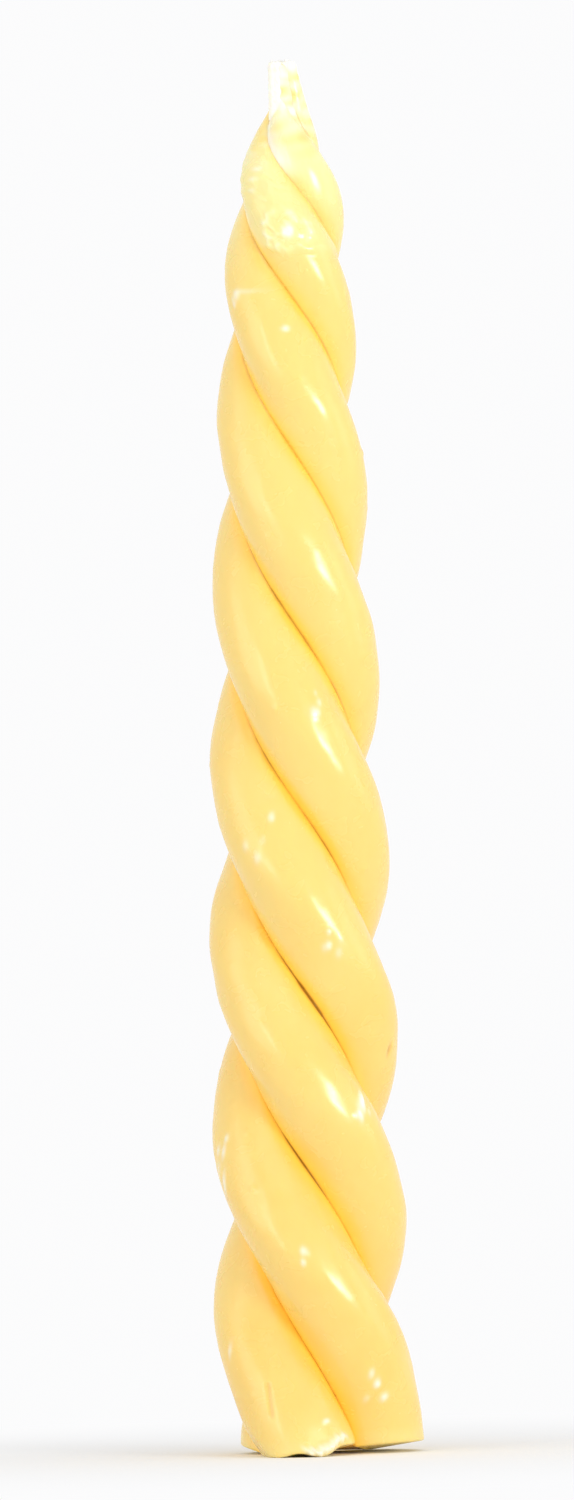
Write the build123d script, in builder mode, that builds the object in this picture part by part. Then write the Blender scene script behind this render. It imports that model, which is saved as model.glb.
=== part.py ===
from build123d import *
from collections import namedtuple
from math import asin, atan2, cos, exp, radians, sin, sqrt
import os

# A candle of three tapered wax strands, laid round one another with a left-hand twist.
# Each strand has its own wick along its middle, bare for a short length at the tip.
# Millimetres and degrees, +Z up, origin on the candle's axis at the foot.

# Overall height, from the foot to the ends of the wicks
candle_height = 250.0

# The round of one strand: its size at the foot, the size that its slow taper has left
# at the top, and how late that taper comes on
strand_foot_diameter = 18.6
strand_top_diameter = 10.8
taper_power = 3.5

# The neck, where the strands close in on the wicks: its depth below the top, its softness
neck_depth = 14.0
neck_softness = 4.6

# Share of its diameter by which a strand is pressed into its neighbour
foot_squash = 0.18
tip_squash = 0.54

# Hairline left between the flat sides of two neighbouring strands
strand_gap = 0.05

# The lay: height of one full turn, extra turn wrung into the tip, slack turn at the foot
lay_height = 98.0
tip_turn = 170.0
tip_turn_power = 11.0
foot_slack = 23.0
foot_slack_height = 10.4
front_strand_angle = -106.0

# The candle's middle bows sideways by this much
bow = 0.9

# Square-braided wicks: the width, the flat between two rounded corners, the wax left
# round each one at the tip, and how much of each one is bare
wick_width = 1.9
wick_flat = 0.6
tip_coat = 0.53
front_bare_wick = 4.0
right_bare_wick = 7.0
left_bare_wick = 10.5

# The left wick has worked round to the side of its strand, behind this much wax
left_side_wall = 0.1

# The right strand's foot: how far its crown splays, over what height, and the tilt of its cut
right_splay = 1.3
right_splay_height = 12.8
right_cut_tilt = 2.5

# Drawing steps: the turn and the rise that part two sections, and the length that is
# drawn below the foot before each end is cut
section_turn = 20.0
section_rise = 12.0
cut_allowance = 4.0

Strand = namedtuple("Strand", "name wax_top side_wall splay cut_tilt", defaults=(None, 0.0, 0.0))
strands = [
    Strand("front", candle_height - front_bare_wick),
    Strand("right", candle_height - right_bare_wick, splay=right_splay, cut_tilt=right_cut_tilt),
    Strand("left", candle_height - left_bare_wick, side_wall=left_side_wall),
]
strand_spacing = 360.0 / len(strands)
half_spacing = radians(strand_spacing / 2)
inner_edge = strand_gap / 2 / sin(half_spacing)
wick_corner = (wick_width - wick_flat) / 2
wick_reach = wick_flat / sqrt(2) + wick_corner
strand_tip_diameter = 2 * (wick_reach + tip_coat)
neck_height = candle_height - neck_depth


def rise(z):
    """Height as a share of the candle, zero below the foot."""
    return max(z, 0.0) / candle_height


def closing(z):
    """Share by which the neck has closed, from none below it to all above it."""
    return 1 / (1 + exp((neck_height - z) / neck_softness))


def strand_radius(z):
    """A slow taper that closes to the tip's radius across the neck."""
    tapered = strand_foot_diameter - (strand_foot_diameter - strand_top_diameter) * rise(z) ** taper_power
    return (tapered + (strand_tip_diameter - tapered) * closing(z)) / 2


def strand_offset(z):
    """Distance from the candle's axis to the middle of a strand's round."""
    squash = foot_squash + (tip_squash - foot_squash) * rise(z)
    return strand_radius(z) * (1 - squash) / sin(half_spacing)


def lay_angle(z):
    """Turn of the strands from the foot up to a height: steady, tighter to the tip, slack at the foot."""
    steady = 360.0 * z / lay_height
    return steady + tip_turn * rise(z) ** tip_turn_power - foot_slack * (1 - exp(-z / foot_slack_height))


def lay_rate(z):
    """Turn per millimetre of height, the slope of the lay angle."""
    tip_rate = tip_turn * tip_turn_power / candle_height * rise(z) ** (tip_turn_power - 1)
    return 360.0 / lay_height + tip_rate - foot_slack / foot_slack_height * exp(-z / foot_slack_height)


def strand_angle(index, z):
    """Direction of a strand's crown from the axis, falling with height for a left-hand lay."""
    return radians(front_strand_angle + index * strand_spacing - lay_angle(z))


def axis_point(z):
    """The candle's axis, bowed most at half height."""
    return Vector(-4 * bow * rise(z) * (1 - rise(z)), 0, z)


def section_heights(top):
    """Heights of the sections from below the foot up to the top, closer where the lay is tight."""
    heights = [-cut_allowance]
    while heights[-1] < top:
        heights.append(heights[-1] + 1 / (1 / section_rise + abs(lay_rate(heights[-1])) / section_turn))
    stretch = (top + cut_allowance) / (heights[-1] + cut_allowance)
    return [(z + cut_allowance) * stretch - cut_allowance for z in heights]


def groove_point(z):
    """Where a strand's round meets its flat side, with X from the candle's axis to the crown."""
    reach = strand_offset(z) - inner_edge
    side = reach * cos(half_spacing) + sqrt(strand_radius(z) ** 2 - (reach * sin(half_spacing)) ** 2)
    return Vector(inner_edge + side * cos(half_spacing), side * sin(half_spacing))


def lobe_circle(strand, z):
    """Middle and radius of the circle through both grooves and the crown, which a splay moves out."""
    groove = groove_point(z)
    crown = strand_offset(z) + strand_radius(z) + strand.splay * exp(-max(z, 0.0) / right_splay_height)
    middle = (crown**2 - groove.dot(groove)) / (2 * (crown - groove.X))
    return middle, crown - middle


def wick_point(index, strand, z):
    """A wick runs halfway between the candle's axis and its strand's crown.

    One with a side wall moves round as the neck closes, and leaves the wax behind that wall.
    """
    halfway = (strand_offset(z) + strand_radius(z)) / 2
    angle = strand_angle(index, z)
    if strand.side_wall is not None:
        room = half_spacing - asin((wick_reach + strand.side_wall) / halfway)
        angle -= room * closing(z) / closing(strand.wax_top)
    return axis_point(z) + Vector(cos(angle), sin(angle), 0) * halfway


def foot_plane(index, strand):
    """Plane of a strand's cut end: it touches the floor at the back and tilts up to the front."""
    middle, radius = lobe_circle(strand, 0)
    back = middle * sin(strand_angle(index, 0)) + radius
    return Plane((0, back, 0)).rotated((-strand.cut_tilt, 0, 0))


os.makedirs("parts", exist_ok=True)
wicks = []

# Wicks: cords through level rounded squares along their paths, straight up where they are bare
for index, strand in enumerate(strands):
    with BuildPart() as wick:
        for z in section_heights(strand.wax_top):
            with BuildSketch(Plane(wick_point(index, strand, z))):
                RectangleRounded(wick_width, wick_width, wick_corner)
        loft()
        extrude(wick.faces().sort_by(Axis.Z)[-1], amount=candle_height - strand.wax_top)
        split(bisect_by=foot_plane(index, strand), keep=Keep.TOP)
    wick.part.label = f"{strand.name}_wick"
    export_step(wick.part, f"parts/{strand.name}_wick.step")
    wicks.append(wick.part)

# Strands: round lobes between two flat sides that meet on the candle's axis, with room for the wicks
for index, strand in enumerate(strands):
    with BuildPart() as wax:
        for z in section_heights(strand.wax_top):
            groove = groove_point(z)
            middle, radius = lobe_circle(strand, z)
            shoulder_angle = atan2(groove.Y, groove.X - middle) / 2
            shoulder = Vector(middle + radius * cos(shoulder_angle), radius * sin(shoulder_angle))
            crown = (middle + radius, 0)
            angle = strand_angle(index, z)
            with BuildSketch(Plane(axis_point(z), x_dir=(cos(angle), sin(angle), 0))):
                with BuildLine():
                    lower_side = Line((inner_edge, 0), (groove.X, -groove.Y))
                    ThreePointArc(lower_side @ 1, (shoulder.X, -shoulder.Y), crown)
                    ThreePointArc(crown, shoulder, groove)
                    Line(groove, lower_side @ 0)
                make_face()
        loft()
        split(bisect_by=foot_plane(index, strand), keep=Keep.TOP)
        add(wicks, mode=Mode.SUBTRACT)
    wax.part.label = f"{strand.name}_strand"
    export_step(wax.part, f"parts/{strand.name}_strand.step")
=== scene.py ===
from collections import namedtuple
from math import cos, pi, radians, sin

import bpy
import numpy as np
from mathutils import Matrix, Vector


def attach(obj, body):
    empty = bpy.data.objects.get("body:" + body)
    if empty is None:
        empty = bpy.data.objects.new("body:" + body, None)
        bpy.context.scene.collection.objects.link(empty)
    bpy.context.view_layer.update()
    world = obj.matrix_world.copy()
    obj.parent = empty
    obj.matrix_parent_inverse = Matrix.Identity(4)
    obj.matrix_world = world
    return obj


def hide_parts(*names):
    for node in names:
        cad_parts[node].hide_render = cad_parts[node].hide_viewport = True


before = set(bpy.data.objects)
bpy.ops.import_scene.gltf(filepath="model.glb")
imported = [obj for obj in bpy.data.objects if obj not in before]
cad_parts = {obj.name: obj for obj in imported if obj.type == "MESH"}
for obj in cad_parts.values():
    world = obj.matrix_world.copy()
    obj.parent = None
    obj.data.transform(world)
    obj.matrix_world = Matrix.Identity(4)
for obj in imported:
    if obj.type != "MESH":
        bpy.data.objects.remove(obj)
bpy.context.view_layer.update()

# A candle of three wax strands laid round one another, each with a braided wick.
# Shapes are worked out in millimetres and degrees, in the part's frame, and written in metres.
MM = 0.001

# Driving sizes, the same as the solids'
CANDLE_HEIGHT = 250.0
STRAND_FOOT_DIAMETER, STRAND_TOP_DIAMETER, TAPER_POWER = 18.6, 10.8, 3.5
NECK_DEPTH, NECK_SOFTNESS = 14.0, 4.6
FOOT_SQUASH, TIP_SQUASH = 0.18, 0.54
STRAND_GAP = 0.05
LAY_HEIGHT, TIP_TURN, TIP_TURN_POWER = 98.0, 170.0, 11.0
FOOT_SLACK, FOOT_SLACK_HEIGHT = 23.0, 10.4
FRONT_STRAND_ANGLE = -106.0
BOW = 0.9
WICK_WIDTH, WICK_FLAT, TIP_COAT = 1.9, 0.6, 0.53
LEFT_SIDE_WALL = 0.1
RIGHT_SPLAY, SPLAY_HEIGHT, RIGHT_CUT_TILT = 1.3, 12.8, 2.5

# Finer than the solids: how far the left strand's foot is pressed in, and the tilt by which the cut of the
# right strand's foot rises to its right
LEFT_PRESS, RIGHT_CUT_SIDE = 1.8, 4.0

# Each strand, with the height that its wax reaches in the solids. Above it, the wax draws in over a taper to
# hug its wick at a height, tilted so that it hugs later on the right, and goes on as a film up to the film's
# top. The film has its own share of white. Where it leaves the wax, a wick leans by so much along X and Y.
Strand = namedtuple(
    "Strand", "name index seed wax_top hug taper film_top film white tilt lean side_wall splay cut_tilt",
    defaults=(0.0, (0.0, 0.0), None, 0.0, 0.0))
STRANDS = [
    Strand("front", 0, 11, wax_top=246.0, hug=248.0, taper=11.0, film_top=249.6, film=0.35, white=0.7,
           lean=(-0.75, 0.15)),
    Strand("right", 1, 23, wax_top=243.0, hug=245.5, taper=8.0, film_top=248.6, film=0.2, white=0.8,
           lean=(-0.2, -0.6), splay=RIGHT_SPLAY, cut_tilt=RIGHT_CUT_TILT),
    Strand("left", 2, 37, wax_top=239.5, hug=241.3, taper=6.0, film_top=249.5, film=0.3, white=1.0,
           tilt=2.6, side_wall=LEFT_SIDE_WALL, splay=-LEFT_PRESS),
]
STRAND_SPACING = 360.0 / len(STRANDS)
HALF_SPACING = radians(STRAND_SPACING / 2)
INNER_EDGE = STRAND_GAP / 2 / sin(HALF_SPACING)
WICK_REACH = WICK_FLAT / 2**0.5 + (WICK_WIDTH - WICK_FLAT) / 2
STRAND_TIP_DIAMETER = 2 * (WICK_REACH + TIP_COAT)
NECK_HEIGHT = CANDLE_HEIGHT - NECK_DEPTH

# Mesh steps: the height between a strand's rings, how many rings round its foot and its film's end, and the
# points of its outline along a flat side, round an edge and over the lobe
RING_STEP, FOOT_RINGS, FILM_END_RINGS = 0.34, 6, 10
SIDE_POINTS, EDGE_POINTS, LOBE_POINTS = 4, 6, 98

# Smooth unevenness: how far it goes, its seed, and the length and width of its waves along and across a
# strand. The seed is added to the strand's own or to the groove's number where it differs between them.
Unevenness = namedtuple("Unevenness", "rise seed length width", defaults=(1.0, 1.0))
WAVE_COUNT = 14


def rise(z):
    """Height as a share of the candle, zero below the foot."""
    return np.maximum(z, 0.0) / CANDLE_HEIGHT


def closing(z):
    """Share by which the neck has closed, from none below it to all above it."""
    return 1 / (1 + np.exp((NECK_HEIGHT - z) / NECK_SOFTNESS))


def strand_radius(z):
    """A slow taper that closes to the tip's radius across the neck."""
    narrowing = (STRAND_FOOT_DIAMETER - STRAND_TOP_DIAMETER) * rise(z) ** TAPER_POWER
    tapered = STRAND_FOOT_DIAMETER - narrowing
    return (tapered + (STRAND_TIP_DIAMETER - tapered) * closing(z)) / 2


def strand_offset(z):
    """Distance from the candle's axis to the middle of a strand's round."""
    squash = FOOT_SQUASH + (TIP_SQUASH - FOOT_SQUASH) * rise(z)
    return strand_radius(z) * (1 - squash) / sin(HALF_SPACING)


def strand_angle(strand, z):
    """Direction of a strand's crown from the axis: a steady lay, tighter to the tip, slack at the foot."""
    slack = FOOT_SLACK * (1 - np.exp(-z / FOOT_SLACK_HEIGHT))
    lay = 360.0 * z / LAY_HEIGHT + TIP_TURN * rise(z) ** TIP_TURN_POWER - slack
    return np.radians(FRONT_STRAND_ANGLE + strand.index * STRAND_SPACING - lay)


def axis_x(z):
    """Sideways place of the candle's axis, bowed most at half height."""
    return -4 * BOW * rise(z) * (1 - rise(z))


def lobe_circle(strand, z):
    """Middle and radius of the circle through both grooves and the crown, which a splay moves out."""
    reach = strand_offset(z) - INNER_EDGE
    side = reach * cos(HALF_SPACING) + np.sqrt(strand_radius(z) ** 2 - (reach * sin(HALF_SPACING)) ** 2)
    groove_x, groove_y = INNER_EDGE + side * cos(HALF_SPACING), side * sin(HALF_SPACING)
    splay = strand.splay * np.exp(-np.maximum(z, 0.0) / SPLAY_HEIGHT)
    crown = strand_offset(z) + strand_radius(z) + splay
    middle = (crown**2 - groove_x**2 - groove_y**2) / (2 * (crown - groove_x))
    return middle, crown - middle


def lay_slope(z):
    """Sideways run of a strand's crown over one millimetre of height."""
    below, above = z - 0.5, z + 0.5
    turn = strand_angle(STRANDS[0], above) - strand_angle(STRANDS[0], below)
    return turn * (strand_offset(z) + strand_radius(z))


def wick_middle(strand, z):
    """Middle of a wick at each height: halfway from the axis to the crown, straight or leaning where bare."""
    low = np.minimum(z, strand.wax_top)
    bare = np.maximum(z - strand.wax_top, 0.0) / (CANDLE_HEIGHT - strand.wax_top)
    halfway = (strand_offset(low) + strand_radius(low)) / 2
    angle = strand_angle(strand, low)
    if strand.side_wall is not None:
        room = HALF_SPACING - np.arcsin((WICK_REACH + strand.side_wall) / halfway)
        angle = angle - room * closing(low) / closing(strand.wax_top)
    x = axis_x(low) + halfway * np.cos(angle) + strand.lean[0] * bare
    y = halfway * np.sin(angle) + strand.lean[1] * bare
    return np.stack([x, y, z], axis=-1)


def waves(kind, along, across, seed=0):
    """Smooth unevenness of one kind: a sum of cosine waves with seeded directions and phases."""
    rng = np.random.default_rng(seed + kind.seed)
    turns = rng.normal(size=(WAVE_COUNT, 2)) / (kind.length, kind.width)
    phases = rng.uniform(0, 2 * pi, WAVE_COUNT)
    total = sum(np.cos(2 * pi * (a * along + b * across) + p) for (a, b), p in zip(turns, phases))
    return kind.rise * (total / (WAVE_COUNT / 2) ** 0.5)


def smooth_step(x, start, end):
    """Goes from 0 to 1 as x goes up or down from start to end, level at both: s s (3 - 2 s)."""
    share = np.clip((x - start) / (end - start), 0.0, 1.0)
    return share * share * (3 - 2 * share)


def closed_skin(name, rings, first_pole, last_pole, fields, material):
    """A closed piece through rings of points in order, with a pole at each end.

    The rings run anticlockwise as seen from above, outwards at the foot and then upwards, so that faces
    point outwards. Each field is a value per ring point, kept as an attribute of the same name.
    """
    ring_count, around = rings.shape[:2]
    points = np.concatenate([rings.reshape(-1, 3), [first_pole, last_pole]]) * MM
    row = np.arange(ring_count - 1)[:, None] * around
    here, beside = np.arange(around), np.roll(np.arange(around), -1)
    quads = np.stack([row + here, row + beside, row + around + beside, row + around + here], axis=-1)
    first, last, top = ring_count * around, ring_count * around + 1, (ring_count - 1) * around
    fan_first = np.stack([np.full(around, first), beside, here], axis=-1)
    fan_last = np.stack([np.full(around, last), top + here, top + beside], axis=-1)
    mesh = bpy.data.meshes.new(name)
    faces = quads.reshape(-1, 4).tolist() + fan_first.tolist() + fan_last.tolist()
    mesh.from_pydata(points.tolist(), [], faces)
    mesh.polygons.foreach_set("use_smooth", np.ones(len(mesh.polygons), bool))
    for field, values in fields.items():
        flat = np.concatenate([values.ravel(), [values[0].mean(), values[-1].mean()]])
        mesh.attributes.new(field, "FLOAT", "POINT").data.foreach_set("value", flat.astype(np.float32))
    mesh.materials.append(material)
    piece = bpy.data.objects.new(name, mesh)
    bpy.context.scene.collection.objects.link(piece)
    return piece


# Grooves

# A groove has the number of the strand before it. Its rounded edges: their usual radius, how it wanders
# slowly and quickly, and its least value and the greatest as a share of the strand's radius
GROOVE_EDGE, GROOVE_EDGE_LEAST, GROOVE_EDGE_SHARE = 0.28, 0.12, 0.12
EDGE_WANDER, QUICK_EDGE_WANDER = Unevenness(0.2, 70, length=24.0), Unevenness(0.08, 80, length=4.8)
# The heights between which the strands run together, and the edge that is left above
FUSE_HEIGHTS, FUSED_EDGE = (205.0, 233.0), 0.08
# How far the strands are pressed into each other, past the middle of the groove
GROOVE_PRESS = 0.15
# Places where a groove stands open: the height of the middle, half the length, and the extra radius
Opening = namedtuple("Opening", "groove height length extra")
OPENINGS = [Opening(2, 82.0, 5.0, 0.9), Opening(1, 51.5, 5.5, 0.8)]
# The dark line along the middle of a groove, painted shade where the strands shade each other: half its
# width, its usual darkness and how that wanders, how much darker it is where the groove stands open, and
# how much of it is lost upwards, between which heights
SLIT_WIDTH, SLIT_DARK, SLIT_WANDER = 0.45, 0.48, Unevenness(0.25, 85, length=20.0)
SLIT_OPEN, SLIT_FADE, SLIT_FADE_HEIGHTS = 0.7, 0.9, (110.0, 230.0)


def opened(groove, z):
    """The extra radius of each place where a groove stands open, with its share there, exp(-(dz/l)^2)."""
    return [(opening.extra, np.exp(-(((z - opening.height) / opening.length) ** 2)))
            for opening in OPENINGS if opening.groove == groove]


def edge_round(groove, z):
    """Radius of the rounded edge along one groove, which opens and closes slowly and is small at the tip."""
    edge = GROOVE_EDGE + waves(EDGE_WANDER, z, 0.0, groove) + waves(QUICK_EDGE_WANDER, z, 0.0, groove)
    edge = edge + sum(extra * share for extra, share in opened(groove, z))
    fused = smooth_step(z, *FUSE_HEIGHTS)
    held = np.clip(edge, GROOVE_EDGE_LEAST, GROOVE_EDGE_SHARE * strand_radius(z))
    return held * (1 - fused) + FUSED_EDGE * fused


def painted_groove_shade(strand, z, arc):
    """Share of painted shade along the grooves on both sides of a strand, most where a groove stands open."""
    shares = []
    for groove in ((strand.index - 1) % len(STRANDS), strand.index):
        dark = SLIT_DARK + waves(SLIT_WANDER, z, 0.0, groove)
        dark = dark + SLIT_OPEN * sum(share for _, share in opened(groove, z))
        shares.append(np.clip(dark, 0, 1) * (1 - SLIT_FADE * smooth_step(z, *SLIT_FADE_HEIGHTS)))
    return np.where(arc < 0, shares[0][:, None], shares[1][:, None])


def strand_outline(strand, z):
    """Level sections of a strand, with X from the candle's axis to the crown.

    Each goes out along one flat side, round a small edge, over the lobe's arc, round the other edge and
    back. The edge's middle lies its radius inside the flat and the lobe, at c = e + s d + r n, where
    |c - m| = R - r gives s. Returns the points, their outward directions, the arc length from the crown
    and the distance from the nearer groove, all per ring and point.
    """
    middle, radius = lobe_circle(strand, z)
    inner = -GROOVE_PRESS / sin(HALF_SPACING)
    halves = []
    for side, groove in ((-1, strand.index - 1), (1, strand.index)):
        edge = edge_round(groove % len(STRANDS), z)
        start_x, start_y = inner - middle + edge * sin(HALF_SPACING), -edge * cos(HALF_SPACING)
        lean = start_x * cos(HALF_SPACING) + start_y * sin(HALF_SPACING)
        run = -lean + np.sqrt(lean**2 - start_x**2 - start_y**2 + (radius - edge) ** 2)
        edge_x = start_x + run * cos(HALF_SPACING)
        edge_y = start_y + run * sin(HALF_SPACING)
        turn = np.arctan2(edge_y, edge_x)
        flat_run = run[:, None] * np.linspace(0, 1, SIDE_POINTS, endpoint=False)
        flat = [inner + flat_run * cos(HALF_SPACING), flat_run * sin(HALF_SPACING)]
        flat_out = np.full_like(flat_run, pi / 2 + HALF_SPACING)
        edge_share = np.linspace(0, 1, EDGE_POINTS, endpoint=False)
        edge_out = flat_out[:, :1] + (turn[:, None] - flat_out[:, :1]) * edge_share
        rounded = [(middle + edge_x)[:, None] + edge[:, None] * np.cos(edge_out),
                   edge_y[:, None] + edge[:, None] * np.sin(edge_out)]
        x = np.concatenate([flat[0], rounded[0]], axis=1)
        y = np.concatenate([flat[1], rounded[1]], axis=1) * side
        out = np.concatenate([flat_out, edge_out], axis=1) * side
        halves.append((x, y, out, turn))
    (x0, y0, out0, turn0), (x1, y1, out1, turn1) = halves
    lobe_out = -turn0[:, None] + (turn0 + turn1)[:, None] * np.linspace(0, 1, LOBE_POINTS)
    lobe_x = middle[:, None] + radius[:, None] * np.cos(lobe_out)
    lobe_y = radius[:, None] * np.sin(lobe_out)
    x = np.concatenate([x0, lobe_x, x1[:, :0:-1]], axis=1)
    y = np.concatenate([y0, lobe_y, y1[:, :0:-1]], axis=1)
    out = np.concatenate([out0, lobe_out, out1[:, :0:-1]], axis=1)
    arc = out * radius[:, None]
    depth = np.minimum((out + turn0[:, None]) * radius[:, None], (turn1[:, None] - out) * radius[:, None])
    return x, y, out, arc, depth


# Unevenness of hand-made wax

# Slow swells, dents and short ripples. They shrink with the strand below a radius, down to a least share, and
# fade over a width beside the grooves.
SWELL, DENT = Unevenness(0.12, 0, 40.0, 22.0), Unevenness(0.014, 3, 10.0, 9.0)
RIPPLE = Unevenness(0.006, 1, 4.5, 4.5)
FULL_RADIUS, LEAST_SIZE, CALM_WIDTH = 8.0, 0.15, 2.2
# Small blisters: how many on a strand, the least and most of their height on it, of their arc, of their
# radius and of their rise, and the power that makes high ones rare
BLISTERS, BLISTER_HEIGHTS, BLISTER_ARCS = 80, (4.0, 228.0), (-12.0, 12.0)
BLISTER_RADIUS, BLISTER_RISE, BLISTER_POWER = (0.5, 0.8), (0.01, 0.2), 4
# What is added to a strand's seed for its blisters and patches, and how many half lengths a spot reaches
MARK_SEED, SPOT_REACH = 2, 3
# Rough patches of steeper blisters: the strand, the height and arc of the middle, the spread, and how many
Patch = namedtuple("Patch", "strand height arc spread count")
PATCHES = [
    Patch("right", 219.2, -0.5, 1.2, 6),
    Patch("front", 208.3, 1.5, 1.5, 3),
    Patch("right", 132.5, 3.0, 3.0, 4),
    Patch("front", 111.5, 5.0, 2.5, 5),
    Patch("front", 92.5, -3.0, 2.6, 5),
    Patch("left", 62.2, 5.0, 1.6, 9),
    Patch("right", 52.5, 1.5, 2.4, 4),
    Patch("right", 36.4, 1.0, 1.6, 3),
    Patch("right", 12.5, -10.5, 2.4, 2),
]
# The least and most of their radius and strength, how much longer than wide they are, their rise, and their
# white: pale flecks of wax that also stand in for glints, as painted highlights
PATCH_RADIUS, PATCH_STRENGTH, PATCH_STRETCH = (0.35, 0.7), (0.3, 1.0), 1.5
PATCH_RISE, PATCH_WHITE = 0.22, 0.8
# Single marks: the strand, the height and arc of its middle, half its length and width, its rise or depth,
# and its shares of white, a painted glint, and of dark, painted shade in a nick
Mark = namedtuple("Mark", "strand height arc length width rise white dark", defaults=(0.0, 0.0))
MARKS = [
    Mark("right", 219.8, 0.0, 1.1, 1.1, -0.5),
    Mark("right", 217.2, 0.8, 1.0, 1.0, -0.45),
    Mark("right", 230.3, 3.6, 0.4, 1.0, 0.1, white=0.6),
    Mark("right", 228.5, 1.9, 0.4, 0.9, 0.1, white=0.5),
    Mark("right", 226.4, 0.0, 0.4, 0.8, 0.1, white=0.4),
    Mark("front", 208.4, 3.6, 0.4, 3.0, 0.06, white=0.35),
    Mark("front", 201.5, 5.4, 0.5, 0.7, 0.2, white=0.9),
    Mark("right", 133.5, -2.8, 0.6, 0.6, 0.2),
    Mark("right", 104.5, -11.4, 0.6, 0.6, 0.2),
    Mark("front", 77.9, -9.1, 1.2, 0.6, 0.2),
    Mark("front", 72.1, -7.4, 1.1, 0.45, -0.4, dark=0.6),
    Mark("right", 54.6, 3.0, 1.3, 0.5, 0.15, white=0.8),
    Mark("right", 49.0, -2.2, 2.0, 0.5, 0.15, white=0.9),
    Mark("right", 48.1, 4.1, 0.6, 0.6, 0.2),
    Mark("front", 19.1, 2.6, 1.4, 0.45, 0.12, white=0.6),
    Mark("right", 14.5, -9.4, 0.9, 0.5, 0.2, white=0.7),
    Mark("right", 12.4, -9.9, 0.6, 0.5, 0.2, white=0.8),
    Mark("right", 9.8, -10.4, 0.9, 0.7, 0.25, white=0.9),
    Mark("front", 5.7, 10.5, 0.5, 0.7, 0.2, white=0.9),
]
# A pinch low on the right strand's neck: its middle, and the ring of wax round it, with its radius, half
# width, rise, the share of the rise that it has all round, and its roughness
PINCH_HEIGHT, PINCH_ARC = 219.0, -0.9
PINCH_RADIUS, PINCH_WIDTH, PINCH_RISE, PINCH_SHARE = 3.6, 0.9, 0.5, 0.7
PINCH_ROUGHNESS = Unevenness(0.3, 63, 3.0, 3.0)
# How the ring's radius and rise swing round it, each time by a share, so many times round, from a turn on
PINCH_RADIUS_SWINGS, PINCH_RISE_SWINGS = [(0.14, 2, 0.7), (0.1, 3, 0.0)], [(0.25, 2, -0.9), (0.2, 5, 0.0)]
# The crumpled wax inside the ring, and the power of its fade to the ring
CRUMPLE, CRUMPLE_FADE = Unevenness(0.1, 64, 2.3, 2.3), 4
# The fold of wax below the pinch: the height of its edge and how that wanders, its rise, the height over
# which its edge rises, and how far above the edge it has faded and begins to fade
FOLD_HEIGHT, FOLD_WANDER = 213.4, Unevenness(0.9, 62, width=11.0)
FOLD_RISE, FOLD_EDGE, FOLD_FADED, FOLD_FADING = 0.5, 2.2, 10.0, 2.0
# Wrinkles across the same strand: their spacing, bends and rise, the heights that they lie between, the
# height over which they fade there, and the level places between which they come in
WRINKLE_SPACING, WRINKLE_BEND, WRINKLE_RISE = 2.6, Unevenness(1.0, 61, 9.0, 5.0), 0.11
WRINKLE_HEIGHTS, WRINKLE_FADE, WRINKLE_LEVELS = (222.0, 236.0), 4.0, (1.5, -1.5)
# How much paler the ring and the fold are, and the crumpled wax for each millimetre that it stands out
PINCH_PALE, FOLD_PALE, CRUMPLE_PALE = 0.22, 0.08, 1.0
# The rolled lip on the front strand's foot: its first and last arc and how far it fades in from each, the
# height of its crest, how that climbs along the arc and wanders, and its rise, half width and raggedness
LIP_ARCS, LIP_FADES = (2.0, 14.0), (2.0, 2.5)
LIP_HEIGHT, LIP_CLIMB, LIP_WANDER = 0.8, 0.1, Unevenness(0.3, 91, width=2.6)
LIP_RISE, LIP_WIDTH, LIP_RAGGED = 0.5, 0.6, Unevenness(0.5, 92, 3.0, 1.7)
# How far it is tucked in below, between which depths under the crest, and its white with its half width:
# bruised wax with a painted highlight along the lip
LIP_TUCK, LIP_TUCK_DEPTHS, LIP_WHITE, LIP_WHITE_WIDTH = 0.5, (0.4, 1.4), 0.8, 0.8
# A scratch above the same foot, from its upper end to its lower one, as heights and arcs: its half width, the
# share of its length in which each end fades, its depth, and its darkness, which is painted shade in it
SCRATCH_HEIGHTS, SCRATCH_ARCS = (14.0, 6.5), (6.3, 0.8)
SCRATCH_WIDTH, SCRATCH_END, SCRATCH_DEPTH, SCRATCH_DARK = 0.35, 1 / 6, 0.3, 0.25


def soft_spot(z, arc, height, middle, length, width):
    """A spot, 1 in its middle, that fades as exp(-(dz/l)^2 - (dw/w)^2), with dw the level way round."""
    spot = np.zeros_like(arc)
    near = np.abs(z - height) < SPOT_REACH * length
    up = (z[near] - height)[:, None]
    level = arc[near] - middle + lay_slope(height) * up
    spot[near] = np.exp(-((up / length) ** 2) - (level / width) ** 2)
    return spot


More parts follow.
